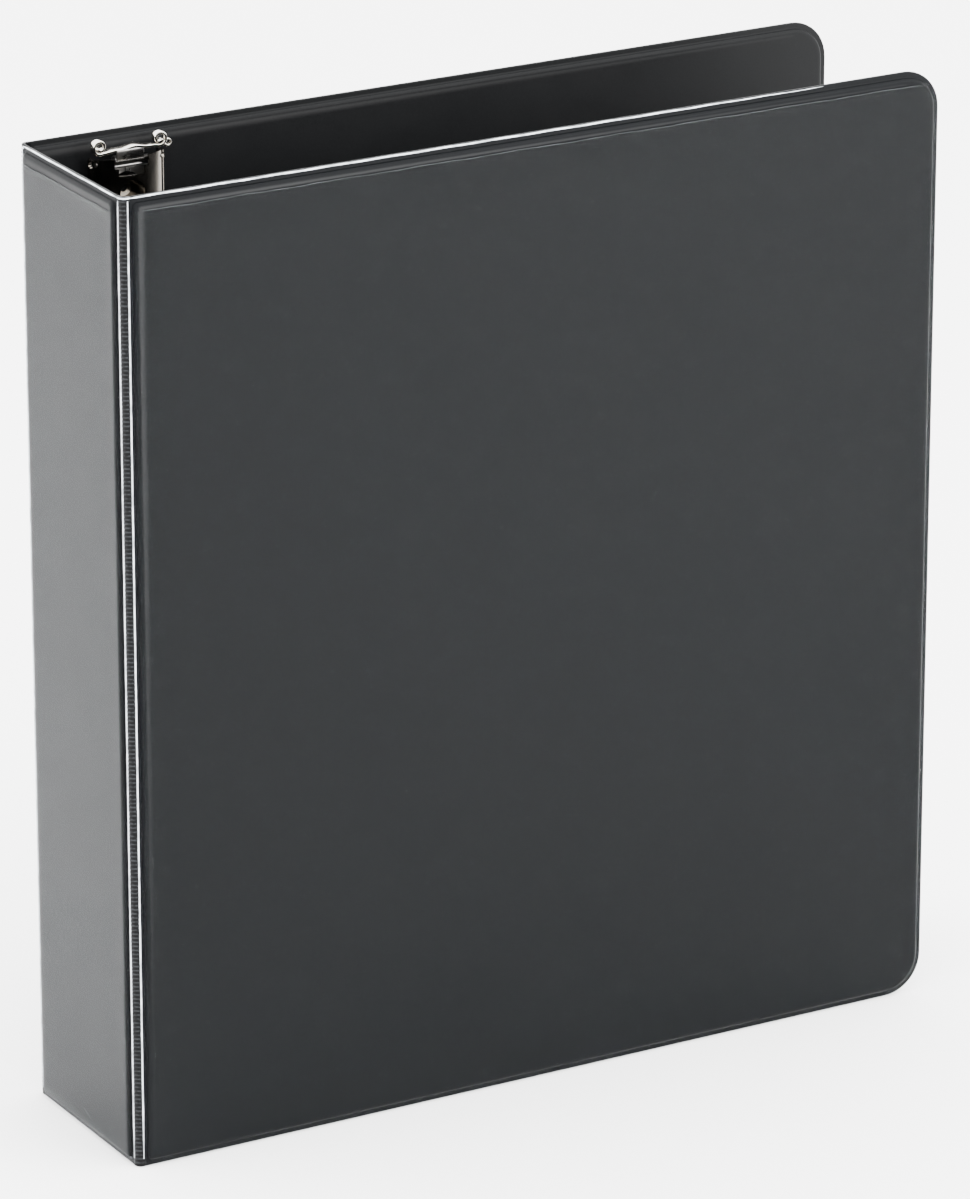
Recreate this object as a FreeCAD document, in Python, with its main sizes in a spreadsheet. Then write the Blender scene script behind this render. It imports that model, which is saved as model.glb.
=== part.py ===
import FreeCAD, Part
import math
import os
import re
import Sketcher
from FreeCAD import Placement, Rotation, Vector

# A three-ring binder standing on its bottom edge: spine at -X, fore-edge at +X,
# front cover at -Y, back cover at +Y. The ring mechanism is riveted to the back cover.
# Origin at the middle of the bottom of the bounding box, millimetres.

os.makedirs("parts", exist_ok=True)
doc = FreeCAD.newDocument("RingBinder")

sizes = {
    # overall
    "cover_height": 292.0,
    "binder_width": 270.0,
    "binder_depth": 66.0,
    "fore_corner": 12.0,
    "hinge_corner": 1.2,
    # vinyl, board and clear film, from the outer face inwards
    "film_thick": 0.2,
    "film_gap": 0.25,
    "skin_thick": 0.4,
    "board_thick": 2.4,
    "seam_flange": 1.8,
    "hinge_flange": 0.6,
    "hinge_gap": 2.35,
    "hinge_bend": 1.5,
    "cover_film_drop": 3.4,
    "spine_film_drop": 4.6,
    "sheet_thick": 0.25,
    "sheet_gap": 0.3,
    "sheet_height": 115.0,
    "sheet_margin": 4.0,
    "sheet_weld": 2.0,
    # ring mechanism, u across from its centre line, v up from the back liner
    "mech_inset": 32.5,
    "housing_inset": 6.5,
    "housing_rise": 7.5,
    "steel_thick": 0.7,
    "pivot_half": 10.4,
    "pivot_rise": 3.2,
    "lip_inner": 0.8,
    "lip_outer": 1.6,
    "rail_thick": 0.9,
    "rail_bead": 0.72,
    "rail_short": 4.0,
    "rail_low": 0.9,
    "rail_gap": 0.15,
    "end_slot_half": 5.4,
    "end_slot_depth": 3.1,
    "neck_slot_half": 4.2,
    "neck_slot_depth": 5.2,
    # rivets
    "rivet_inset": 17.0,
    "rivet_pair": 75.0,
    "rivet_shank": 1.7,
    "rivet_bore": 1.2,
    "rivet_head": 4.0,
    "rivet_flare": 2.5,
    "rivet_lip": 0.5,
    "cup_outer": 4.5,
    "rail_notch": 5.3,
    # rings
    "ring_pitch": 108.0,
    "wire_radius": 1.9,
    "foot_half": 7.0,
    "foot_low": 1.6,
    "ring_clear": 10.5,
    "ring_bend": 7.0,
    "tip_shift": 1.0,
    "knee_height": 8.8,
    "knee_radius": 6.0,
    "knee_angle": 38.0,
    "crown_rise": 4.4,
    "slot_play": 0.45,
    "slot_travel": 0.8,
    # levers
    "lever_axis": 8.0,
    "lever_rise": 4.2,
    "pin_radius": 0.9,
    "lever_play": 0.05,
    "hub_radius": 1.7,
    "hub_half": 4.6,
    "thumb_half": 8.7,
    "thumb_reach": 5.0,
    "thumb_thick": 0.9,
    "thumb_low": 2.9,
    "thumb_high": 6.4,
    "scroll_radius": 2.1,
    "scroll_bore": 1.1,
    "scroll_half": 10.0,
    "loop_radius": 1.3,
    "loop_bore": 0.6,
    "loop_drop": 1.4,
    "loop_low": 3.4,
    "loop_thick": 2.2,
    "tongue_half": 2.6,
    "tongue_reach": 3.6,
    "tongue_thick": 0.6,
    "tongue_low": 0.95,
}

sheet = doc.addObject("Spreadsheet::Sheet", "Sizes")
for row, (alias, number) in enumerate(sizes.items(), start=1):
    sheet.set("A%d" % row, alias)
    sheet.set("B%d" % row, "%g" % number)
    sheet.setAlias("B%d" % row, alias)
doc.recompute()

namePattern = re.compile(r"\b(" + "|".join(sorted(sizes, key=len, reverse=True)) + r")\b")


def bound(expression):
    return namePattern.sub(r"Sizes.\1", expression)


def value(expression):
    return float(sheet.evalExpression(bound(expression)))


# depths in a cover or the spine, measured inwards from the outer plane
filmTop = "film_thick"
skinTop = "(film_thick + film_gap)"
middle = "(film_thick + film_gap + skin_thick + board_thick / 2)"
panelDepth = "(film_thick + film_gap + 2 * skin_thick + board_thick)"
mechX = "(mech_inset - binder_width / 2)"
linerY = "(binder_depth / 2 - %s)" % panelDepth
lift = "housing_inset"
housingLength = "(cover_height - 2 * housing_inset)"
ringTop = "(binder_depth - 2 * %s - ring_clear)" % panelDepth
kneeSine = "sin(knee_angle * 1 deg)"
sideRadius = "((%s + crown_rise - knee_height - knee_radius * %s) / (1 + %s))" % (ringTop, kneeSine, kneeSine)

backTurn = Rotation(Vector(1, 0, 0), 90)
frontTurn = Rotation(Vector(-1, 0, 0), Vector(0, 0, 1), Vector(0, 1, 0), "ZXY")
spineTurn = Rotation(Vector(0, 1, 0), Vector(0, 0, 1), Vector(1, 0, 0), "ZXY")


def newBody(label, base=("0", "0", "0"), turn=Rotation()):
    body = doc.addObject("PartDesign::Body", label)
    body.Label = label
    body.Placement = Placement(Vector(*[value(b) for b in base]), turn)
    for axis, expression in zip("xyz", base):
        body.setExpression("Placement.Base." + axis, bound(expression))
    return body


def newSketch(body, role="XY_Plane", offset="0"):
    sketch = body.newObject("Sketcher::SketchObject", body.Label + "_sketch")
    plane = [o for o in body.Origin.OriginFeatures if o.Role == role][0]
    sketch.AttachmentSupport = [(plane, "")]
    sketch.MapMode = "FlatFace"
    sketch.AttachmentOffset = Placement(Vector(0, 0, value(offset)), Rotation())
    sketch.setExpression("AttachmentOffset.Base.z", bound(offset))
    return sketch


def fixPoint(sketch, item, end, x, y):
    for kind, expression in (("DistanceX", x), ("DistanceY", y)):
        index = sketch.addConstraint(Sketcher.Constraint(kind, -1, 1, item, end, value(expression)))
        sketch.setExpression("Constraints[%d]" % index, bound(expression))


def fixRadius(sketch, item, radius):
    index = sketch.addConstraint(Sketcher.Constraint("Radius", item, value(radius)))
    sketch.setExpression("Constraints[%d]" % index, bound(radius))


def arcBetween(start, end, radius, left):
    """Minor arc from start to end, turning left or right."""
    chord = end.sub(start)
    half = chord.Length / 2
    rise = math.sqrt(max(radius * radius - half * half, 0.0))
    normal = Vector(-chord.y, chord.x, 0).normalize()
    centre = (start + end) * 0.5 + normal * (rise if left else -rise)
    bulge = normal * (-radius if left else radius)
    return Part.Arc(start, centre + bulge, end)


def profile(sketch, corners, arcs=None, closed=True):
    """Outline through corners; arcs gives the radius and turn of the sides that are round."""
    arcs = arcs or {}
    points = [Vector(value(x), value(y), 0) for x, y in corners]
    count = len(corners) if closed else len(corners) - 1
    first = sketch.GeometryCount
    ends = []
    for i in range(count):
        start, end = points[i], points[(i + 1) % len(points)]
        if i in arcs:
            radius, left = arcs[i]
            item = sketch.addGeometry(arcBetween(start, end, value(radius), left), False)
            # a sketch keeps every arc turning left, so a right turn has its ends swapped
            ends.append((1, 2) if left else (2, 1))
        else:
            item = sketch.addGeometry(Part.LineSegment(start, end), False)
            ends.append((1, 2))
    for i in range(count):
        following = (i + 1) % count
        if closed or i + 1 < count:
            sketch.addConstraint(
                Sketcher.Constraint(
                    "Coincident", first + i, ends[i][1], first + following, ends[following][0]
                )
            )
        fixPoint(sketch, first + i, ends[i][0], *corners[i])
        if i in arcs:
            fixRadius(sketch, first + i, arcs[i][0])
    if not closed:
        fixPoint(sketch, first + count - 1, ends[-1][1], *corners[-1])
    return sketch


def circle(sketch, x, y, radius):
    centre = Vector(value(x), value(y), 0)
    item = sketch.addGeometry(Part.Circle(centre, Vector(0, 0, 1), value(radius)), False)
    fixPoint(sketch, item, 3, x, y)
    fixRadius(sketch, item, radius)
    return sketch


def rectangle(sketch, x0, x1, y0, y1, leftRadius="0", rightRadius="0"):
    corners = []
    arcs = {}
    for x, y, radius, alongX, alongY, rising in (
        (x0, y0, leftRadius, 1, 1, False),
        (x1, y0, rightRadius, -1, 1, True),
        (x1, y1, rightRadius, -1, -1, False),
        (x0, y1, leftRadius, 1, -1, True),
    ):
        if radius == "0":
            corners.append((x, y))
            continue
        onX = ("%s + %d * (%s)" % (x, alongX, radius), y)
        onY = (x, "%s + %d * (%s)" % (y, alongY, radius))
        arcs[len(corners)] = (radius, True)
        corners += [onX, onY] if rising else [onY, onX]
    return profile(sketch, corners, arcs)


def pad(body, sketch, length, backwards=False):
    feature = body.newObject("PartDesign::Pad", body.Label + "_pad")
    feature.Profile = sketch
    feature.Length = value(length)
    feature.setExpression("Length", bound(length))
    feature.Reversed = backwards
    feature.Refine = True
    return feature


def pocket(body, sketch, length, backwards=False):
    feature = body.newObject("PartDesign::Pocket", body.Label + "_pocket")
    feature.Profile = sketch
    feature.Length = value(length)
    feature.setExpression("Length", bound(length))
    feature.Reversed = backwards
    return feature


# covers and spine: each lies in its own frame, x across, y up, z inwards

panels = {
    "back": {
        "base": ("0", "binder_depth / 2", "0"),
        "turn": backTurn,
        "x": ("%s + hinge_gap - binder_width / 2" % middle, "binder_width / 2"),
        "free": (False, True),
        "drop": "cover_film_drop",
    },
    "front": {
        "base": ("0", "-binder_depth / 2", "0"),
        "turn": frontTurn,
        "x": ("-binder_width / 2", "binder_width / 2 - %s - hinge_gap" % middle),
        "free": (True, False),
        "drop": "cover_film_drop",
    },
    "spine": {
        "base": ("-binder_width / 2", "0", "0"),
        "turn": spineTurn,
        "x": (
            "%s + hinge_gap - binder_depth / 2" % middle,
            "binder_depth / 2 - %s - hinge_gap" % middle,
        ),
        "free": (False, False),
        "drop": "spine_film_drop",
    },
}


def panelOutline(sketch, panel, inset):
    """Rounded outline of a panel, inset from the free edges and less from the hinge edges."""
    ends = []
    radii = []
    for x, free, sign in zip(panel["x"], panel["free"], (1, -1)):
        away = inset if free else "(%s) * hinge_flange / seam_flange" % inset
        if inset != "0" and not free:
            away = "hinge_flange + (%s - seam_flange)" % inset
        ends.append("%s + %d * (%s)" % (x, sign, away))
        if free:
            radii.append("fore_corner - (%s)" % inset)
        else:
            radii.append("0" if inset == "0" else "hinge_corner")
    return rectangle(sketch, ends[0], ends[1], inset, "cover_height - (%s)" % inset, *radii)


def tray(label, panel, flange, block, hollow, rise="0"):
    """A thin formed sheet: flat rim, raised block and the hollow under it."""
    body = newBody(label, panel["base"], panel["turn"])
    for inset, start, length in (flange, block):
        pad(body, panelOutline(newSketch(body, offset=start), panel, inset), length)
    inset, start, length, inwards = hollow
    pocket(body, panelOutline(newSketch(body, offset=start), panel, inset), length, inwards)
    return body


def trimTop(body, panel, height, start, length):
    x0, x1 = ("%s - 1" % panel["x"][0], "%s + 1" % panel["x"][1])
    strip = rectangle(newSketch(body, offset=start), x0, x1, height, "cover_height + 1")
    return pocket(body, strip, length)


rivetHeights = [
    "rivet_inset",
    "rivet_inset + rivet_pair",
    "cover_height - rivet_inset - rivet_pair",
    "cover_height - rivet_inset",
]

skinBodies = {}
for name, panel in panels.items():
    boardInset = "seam_flange + skin_thick"
    skin = tray(
        name + "_outer_skin",
        panel,
        ("0", "%s - skin_thick" % middle, "skin_thick"),
        ("seam_flange", skinTop, "%s - %s" % (middle, skinTop)),
        (boardInset, middle, "board_thick / 2", False),
    )
    liner = tray(
        name + "_inner_liner",
        panel,
        ("0", middle, "skin_thick"),
        ("seam_flange", middle, "skin_thick + board_thick / 2"),
        (boardInset, middle, "board_thick / 2", True),
    )
    film = tray(
        name + "_clear_overlay",
        panel,
        ("0", "%s - skin_thick - film_thick" % middle, "film_thick"),
        ("seam_flange - film_thick", "0", "%s - skin_thick" % middle),
        ("seam_flange", "%s - skin_thick" % middle, "%s - skin_thick - film_thick" % middle, False),
    )
    trimTop(film, panel, "cover_height - " + panel["drop"], "%s + 1" % middle, "%s + 2" % middle)
    board = newBody(name + "_board", panel["base"], panel["turn"])
    boardSketch = newSketch(board, offset="%s - board_thick / 2" % middle)
    pad(board, panelOutline(boardSketch, panel, boardInset), "board_thick")
    skinBodies[name] = (board, liner)

# rivet holes through the back board and its liner, with room for the heads in the board
board, liner = skinBodies["back"]
holes = newSketch(board, offset=panelDepth)
heads = newSketch(board, offset="%s - board_thick / 2 - 1" % middle)
linerHoles = newSketch(liner, offset=panelDepth)
for height in rivetHeights:
    circle(holes, mechX, height, "rivet_shank")
    circle(heads, mechX, height, "rivet_head")
    circle(linerHoles, mechX, height, "rivet_shank")
pocket(board, holes, panelDepth)
pocket(board, heads, "1 + rivet_lip", True)
pocket(liner, linerHoles, panelDepth)

# document pockets welded to the two liners, open at the top
pocketEnds = {
    "back": ("%s + pivot_half + 8" % mechX, "binder_width / 2 - sheet_margin"),
    "front": (
        "sheet_margin - binder_width / 2",
        "binder_width / 2 - %s - hinge_gap - sheet_margin" % middle,
    ),
}
for name, (x0, x1) in pocketEnds.items():
    panel = panels[name]
    body = newBody(name + "_inner_pocket", panel["base"], panel["turn"])
    rim = newSketch(body, offset=panelDepth)
    pad(body, rectangle(rim, x0, x1, "sheet_margin", "sheet_height"), "sheet_thick")
    block = newSketch(body, offset=panelDepth)
    rectangle(block, x0 + " + sheet_weld", x1 + " - sheet_weld", "sheet_margin + sheet_weld", "sheet_height")
    pad(body, block, "sheet_gap + sheet_thick")
    hollow = newSketch(body, offset=panelDepth)
    rectangle(
        hollow,
        x0 + " + sheet_weld + sheet_thick",
        x1 + " - sheet_weld - sheet_thick",
        "sheet_margin + sheet_weld + sheet_thick",
        "sheet_height + 1",
    )
    pocket(body, hollow, "sheet_gap", True)

# the two flexible hinge webs between the spine and the covers
flat = "%s + hinge_gap" % middle
bend = "(%s + hinge_bend)" % middle
webOuter = "(%s - skin_thick)" % middle
webInner = "(%s + skin_thick)" % middle
webSection = [
    (flat, webOuter),
    (bend, webOuter),
    (webOuter, bend),
    (webOuter, flat),
    (webInner, flat),
    (webInner, bend),
    (bend, webInner),
    (flat, webInner),
]
for name, side in (("front", -1), ("back", 1)):
    web = newBody(name + "_hinge_web")
    corners = [
        ("%s - binder_width / 2" % x, "%d * (binder_depth / 2 - (%s))" % (side, y)) for x, y in webSection
    ]
    # the outer bend turns one way and the inner bend the other; mirrored on the back
    arcs = {1: ("hinge_bend + skin_thick", side > 0), 5: ("hinge_bend - skin_thick", side < 0)}
    pad(web, profile(newSketch(web), corners, arcs), "cover_height")

# ring mechanism: x is u across, y runs up the binder, z is v off the back liner
mechBase = (mechX, linerY, "0")


def mechBody(label):
    return newBody(label, mechBase, backTurn)


def acrossSketch(body, height):
    """Cross-section at a height up the binder; its y is v."""
    return newSketch(body, "XZ_Plane", "-(%s)" % height)


sagitta = "(housing_rise - pivot_rise - lip_outer)"
archOuter = "((pivot_half ^ 2 + %s ^ 2) / (2 * %s))" % (sagitta, sagitta)
archInner = "(%s - steel_thick)" % archOuter
archCentre = "(housing_rise - %s)" % archOuter
housingEnd = "(cover_height - housing_inset)"

housing = mechBody("ring_housing")
innerEdge = "%s + sqrt(%s ^ 2 - pivot_half ^ 2)" % (archCentre, archInner)
arch = profile(
    acrossSketch(housing, lift),
    [
        ("pivot_half", "pivot_rise + lip_outer"),
        ("-pivot_half", "pivot_rise + lip_outer"),
        ("-pivot_half", innerEdge),
        ("pivot_half", innerEdge),
    ],
    {0: (archOuter, True), 2: (archInner, False)},
)
pad(housing, arch, housingLength, True)

# curled edges that hold the outer edges of the rails
for side in ("1", "-1"):
    edge = "%s * pivot_half" % side
    outward = side == "1"
    lipCorners = [
        (edge, "pivot_rise - lip_outer"),
        ("%s * (pivot_half + lip_outer)" % side, "pivot_rise"),
        (edge, "pivot_rise + lip_outer"),
        (edge, "pivot_rise + lip_inner"),
        ("%s * (pivot_half + lip_inner)" % side, "pivot_rise"),
        (edge, "pivot_rise - lip_inner"),
    ]
    lipArcs = {
        0: ("lip_outer", outward),
        1: ("lip_outer", outward),
        3: ("lip_inner", not outward),
        4: ("lip_inner", not outward),
    }
    pad(housing, profile(acrossSketch(housing, lift), lipCorners, lipArcs), housingLength, True)

# rivet cups pressed down to the cover
cups = newSketch(housing)
wells = newSketch(housing, offset="housing_rise + 1")
shanks = newSketch(housing, offset="housing_rise + 1")
for height in rivetHeights:
    circle(cups, "0", height, "cup_outer")
    circle(wells, "0", height, "cup_outer - steel_thick * 0.8")
    circle(shanks, "0", height, "rivet_shank")
pad(housing, cups, "housing_rise - steel_thick * 0.9")
pocket(housing, wells, "housing_rise + 1 - steel_thick")
pocket(housing, shanks, "housing_rise + 2")

# slots for the ring legs, and the end slots that the levers work in
ringHeights = ["cover_height / 2 + %d * ring_pitch" % k for k in (-1, 0, 1)]
slots = newSketch(housing, offset="housing_rise + 1")
for height in ringHeights:
    for side in ("1", "-1"):
        inner = "%s * (foot_half - wire_radius - slot_play)" % side
        outer = "%s * (foot_half + wire_radius + slot_play + slot_travel)" % side
        ends = (inner, outer) if side == "1" else (outer, inner)
        low = "%s - wire_radius - slot_play" % height
        high = "%s + wire_radius + slot_play" % height
        rectangle(slots, ends[0], ends[1], low, high)
pocket(housing, slots, "housing_rise + 1 - pivot_rise - lip_inner")
for half, depth in (("end_slot_half", "end_slot_depth"), ("neck_slot_half", "neck_slot_depth")):
    ends = newSketch(housing, offset="housing_rise + 1")
    rectangle(ends, "-" + half, half, "%s - 1" % lift, "%s + %s" % (lift, depth))
    rectangle(ends, "-" + half, half, "%s - %s" % (housingEnd, depth), "%s + 1" % housingEnd)
    pocket(housing, ends, "housing_rise + 1")
leverHeights = {"bottom": "lever_axis", "top": "cover_height - lever_axis"}
bores = newSketch(housing, "YZ_Plane", "pivot_half + lip_outer + 1")
for height in leverHeights.values():
    circle(bores, height, "lever_rise", "pin_radius")
pocket(housing, bores, "2 * (pivot_half + lip_outer + 1)")

# hinge rails: long plates that rock in the curled edges
for name, side in (("left", "-1"), ("right", "1")):
    rail = mechBody("hinge_rail_" + name)
    start = "%s + rail_short" % lift
    length = "%s - 2 * rail_short" % housingLength
    outer = "%s * pivot_half" % side
    centre = "%s * rail_gap" % side
    plate = [
        (outer, "pivot_rise - rail_thick / 2"),
        (outer, "pivot_rise + rail_thick / 2"),
        (centre, "pivot_rise - rail_low + rail_thick / 2"),
        (centre, "pivot_rise - rail_low - rail_thick / 2"),
    ]
    pad(rail, profile(acrossSketch(rail, start), plate), length, True)
    pad(rail, circle(acrossSketch(rail, start), outer, "pivot_rise", "rail_bead"), length, True)
    notches = newSketch(rail, offset="housing_rise")
    feet = newSketch(rail, offset="housing_rise")
    for height in rivetHeights:
        circle(notches, "0", height, "rail_notch")
    for height in ringHeights:
        circle(feet, "%s * foot_half" % side, height, "wire_radius")
    pocket(rail, notches, "housing_rise")
    pocket(rail, feet, "housing_rise")

# split rings: a straight leg on the right, a round one on the left
def sweep(body, path, foot):
    pipe = body.newObject("PartDesign::AdditivePipe", body.Label + "_wire")
    pipe.Profile = foot
    pipe.Spine = path
    return pipe


def leftPath(body):
    """Leg, knee, side and crown, each tangent to the next."""
    path = newSketch(body, "XZ_Plane")
    foot, low, knee = value("-foot_half"), value("foot_low"), value("knee_height")
    kneeSize, sideSize = value("knee_radius"), value(sideRadius)
    angle = math.radians(value("knee_angle"))
    tipX, tipY = value("-tip_shift"), value(ringTop)
    kneeCentre = Vector(foot - kneeSize, knee, 0)
    kneeEnd = kneeCentre + Vector(math.cos(angle), math.sin(angle), 0) * kneeSize
    sideCentre = kneeEnd + Vector(math.cos(angle), math.sin(angle), 0) * sideSize
    dx, dy = sideCentre.x - tipX, sideCentre.y - tipY
    crownRadius = (sideSize**2 - dx**2 - dy**2) / (2 * (dy + sideSize))
    crownCentre = Vector(tipX, tipY - crownRadius, 0)
    outward = (crownCentre - sideCentre).normalize()
    sideEnd = sideCentre + outward * sideSize
    sideMiddle = sideCentre + Vector(-1, 0, 0) * sideSize
    crownMiddle = crownCentre + (outward + Vector(0, 1, 0)).normalize() * crownRadius
    kneeMiddle = kneeCentre + Vector(math.cos(angle / 2), math.sin(angle / 2), 0) * kneeSize
    tip = Vector(tipX, tipY, 0)
    kneeStart = Vector(foot, knee, 0)
    path.addGeometry(Part.LineSegment(Vector(foot, low, 0), kneeStart), False)
    path.addGeometry(Part.Arc(kneeStart, kneeMiddle, kneeEnd), False)
    path.addGeometry(Part.Arc(kneeEnd, sideMiddle, sideEnd), False)
    path.addGeometry(Part.Arc(sideEnd, crownMiddle, tip), False)
    path.addConstraint(Sketcher.Constraint("Tangent", 0, 2, 1, 1))
    path.addConstraint(Sketcher.Constraint("Tangent", 1, 2, 2, 2))
    path.addConstraint(Sketcher.Constraint("Tangent", 2, 1, 3, 2))
    fixPoint(path, 0, 1, "-foot_half", "foot_low")
    fixPoint(path, 0, 2, "-foot_half", "knee_height")
    fixRadius(path, 1, "knee_radius")
    fixRadius(path, 2, sideRadius)
    index = path.addConstraint(Sketcher.Constraint("Angle", 1, angle))
    path.setExpression("Constraints[%d]" % index, bound("knee_angle") + " * 1 deg")
    fixPoint(path, 3, 1, "-tip_shift", ringTop)
    path.addConstraint(Sketcher.Constraint("Vertical", 3, 1, 3, 3))
    return path


def rightPath(body):
    corners = [
        ("foot_half", "foot_low"),
        ("foot_half", ringTop + " - ring_bend"),
        ("foot_half - ring_bend", ringTop),
        ("-tip_shift", ringTop),
    ]
    return profile(newSketch(body, "XZ_Plane"), corners, {1: ("ring_bend", True)}, closed=False)


for place, height in zip(("bottom", "middle", "top"), ringHeights):
    for name, side, makePath in (("left", "-1", leftPath), ("right", "1", rightPath)):
        ring = newBody("ring_%s_%s" % (name, place), (mechX, linerY, height), backTurn)
        foot = circle(newSketch(ring, offset="foot_low"), "%s * foot_half" % side, "0", "wire_radius")
        sweep(ring, makePath(ring), foot)

# levers with their pins, one at each end of the housing
for place, axis, side in (("bottom", "lever_axis", "-1"), ("top", "(cover_height - lever_axis)", "1")):
    lever = mechBody("lever_" + place)

    def outwards(reach):
        return "%s + %s * (%s)" % (axis, side, reach)

    def span(nearest, farthest):
        pair = (outwards(nearest), outwards(farthest))
        return pair if side == "1" else (pair[1], pair[0])

    hub = newSketch(lever, "YZ_Plane", "-hub_half")
    pad(lever, circle(hub, axis, "lever_rise", "hub_radius"), "2 * hub_half")
    arm = newSketch(lever, offset="lever_rise + hub_radius - thumb_thick")
    low, high = span("0", "thumb_reach + thumb_thick / 2")
    pad(lever, rectangle(arm, "-hub_half", "hub_half", low, high), "thumb_thick")
    low, high = span("thumb_reach", "thumb_reach + thumb_thick")
    thumb = newSketch(lever, offset="thumb_low")
    pad(lever, rectangle(thumb, "-thumb_half", "thumb_half", low, high), "thumb_high - thumb_low")
    scrolls = newSketch(lever, offset="thumb_low")
    for edge in ("1", "-1"):
        circle(scrolls, "%s * scroll_half" % edge, outwards("thumb_reach + thumb_thick / 2"), "scroll_radius")
    pad(lever, scrolls, "thumb_high - thumb_low")
    wells = newSketch(lever, offset="thumb_high + 1")
    for edge in ("1", "-1"):
        circle(wells, "%s * scroll_half" % edge, outwards("thumb_reach + thumb_thick / 2"), "scroll_bore")
    pocket(lever, wells, "1 + (thumb_high - thumb_low) * 0.6")
    neck = newSketch(lever, offset="tongue_low")
    low, high = span("-hub_radius + 0.2", "0.4")
    pad(lever, rectangle(neck, "-tongue_half", "tongue_half", low, high), "lever_rise - tongue_low")
    tongue = newSketch(lever, offset="tongue_low")
    low, high = span("-tongue_reach", "0.4")
    pad(lever, rectangle(tongue, "-tongue_half", "tongue_half", low, high), "tongue_thick")
    loopCentre = ("scroll_half + scroll_radius * 0.6 + loop_radius", outwards("thumb_reach - loop_drop"))
    loop = newSketch(lever, offset="loop_low")
    pad(lever, circle(loop, *loopCentre, "loop_radius"), "loop_thick")
    eye = newSketch(lever, offset="loop_low + loop_thick + 1")
    pocket(lever, circle(eye, *loopCentre, "loop_bore"), "loop_thick + 2")
    bore = newSketch(lever, "YZ_Plane", "hub_half + 1")
    pocket(lever, circle(bore, axis, "lever_rise", "pin_radius + lever_play"), "2 * hub_half + 2")
    pin = mechBody("lever_pin_" + place)
    rod = newSketch(pin, "YZ_Plane", "-pivot_half")
    pad(pin, circle(rod, axis, "lever_rise", "pin_radius"), "2 * pivot_half")

# hollow rivets: head in the board, shank through liner and cup, rolled rim on the cup floor
for number, height in enumerate(rivetHeights, start=1):
    rivet = newBody("rivet_%d" % number, (mechX, "binder_depth / 2", height), backTurn)
    headTop = "%s - board_thick / 2" % middle
    pad(rivet, circle(newSketch(rivet, offset=headTop), "0", "0", "rivet_head"), "rivet_lip")
    floor = "%s + steel_thick" % panelDepth
    shank = circle(newSketch(rivet, offset=headTop), "0", "0", "rivet_shank")
    pad(rivet, shank, "%s - (%s) + rivet_lip" % (floor, headTop))
    flare = circle(newSketch(rivet, offset=floor), "0", "0", "rivet_flare")
    pad(rivet, flare, "rivet_lip")
    bore = circle(newSketch(rivet, offset="%s + 2 * rivet_lip" % floor), "0", "0", "rivet_bore")
    pocket(rivet, bore, "%s + 2 * rivet_lip - (%s) - rivet_lip" % (floor, headTop))

doc.recompute()

bodies = [o for o in doc.Objects if o.TypeId == "PartDesign::Body"]
for item in doc.Objects:
    if "Invalid" in item.State or "Error" in item.State:
        raise RuntimeError("%s: %s" % (item.Label, item.State))
for body in bodies:
    shape = body.Shape
    if shape.isNull() or not shape.isValid():
        raise RuntimeError(body.Label + " has no valid shape")
    shape.exportStep("parts/%s.step" % body.Label)
    print("%-22s %9.1f mm3 %d solid(s)" % (body.Label, shape.Volume, len(shape.Solids)))
print(len(bodies), "parts written")
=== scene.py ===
import bpy
import bmesh
import math
import random
from mathutils import Matrix, Vector


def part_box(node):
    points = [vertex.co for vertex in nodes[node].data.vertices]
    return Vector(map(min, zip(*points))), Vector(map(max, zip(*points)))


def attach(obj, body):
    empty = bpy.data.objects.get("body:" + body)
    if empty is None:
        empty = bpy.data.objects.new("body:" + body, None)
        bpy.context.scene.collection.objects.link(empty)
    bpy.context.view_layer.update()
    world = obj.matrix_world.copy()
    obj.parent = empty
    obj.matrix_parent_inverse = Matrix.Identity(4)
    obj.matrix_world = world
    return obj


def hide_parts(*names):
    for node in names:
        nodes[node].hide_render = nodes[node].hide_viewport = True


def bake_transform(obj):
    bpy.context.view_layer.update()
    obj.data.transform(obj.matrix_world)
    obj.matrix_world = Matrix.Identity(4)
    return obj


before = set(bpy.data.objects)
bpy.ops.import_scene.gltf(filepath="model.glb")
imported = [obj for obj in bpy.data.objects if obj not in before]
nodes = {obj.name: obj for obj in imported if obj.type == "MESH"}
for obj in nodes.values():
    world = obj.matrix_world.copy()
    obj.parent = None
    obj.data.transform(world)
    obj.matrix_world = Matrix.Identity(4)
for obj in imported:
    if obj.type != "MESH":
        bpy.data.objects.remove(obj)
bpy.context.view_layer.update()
mm = 0.001
random.seed(11)

# overall sizes in mm, with the origin in the middle of the bottom edge
binder = {
    "width": 270.0,
    "depth": 66.0,
    "height": 292.0,
    "foreCorner": 12.0,
    "leastCorner": 0.4,
    "hingeCorner": 1.4,     # largest corner radius beside a hinge
    "hingeCornerStart": 0.05,
    "hingeCornerGrowth": 0.7,
    "seamDepth": 2.05,      # depth of the weld plane inside the outer face
    "linerDepth": 3.65,     # depth of the inner face, so the thickness of a panel
    "hingeEdge": 4.4,       # where a panel ends, in from the neighbouring outer face
    "seamWidth": 1.8,
    "hingeFlange": 0.6,
}
halfWidth, halfDepth = binder["width"] / 2, binder["depth"] / 2
housingLow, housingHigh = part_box("ring_housing")
mechX, linerY = (housingLow.x + housingHigh.x) / 2 / mm, halfDepth - binder["linerDepth"]


# node helpers

def newMaterial(name):
    material = bpy.data.materials.new(name)
    material.use_nodes = True
    tree = material.node_tree
    tree.nodes.clear()
    return material, tree, tree.nodes.new("ShaderNodeOutputMaterial")


def node(tree, kind, inputs=None, **settings):
    made = tree.nodes.new("ShaderNode" + kind)
    for name, value in settings.items():
        setattr(made, name, value)
    for name, value in (inputs or {}).items():
        if isinstance(value, bpy.types.NodeSocket):
            tree.links.new(value, made.inputs[name])
        else:
            made.inputs[name].default_value = value
    return made


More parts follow.
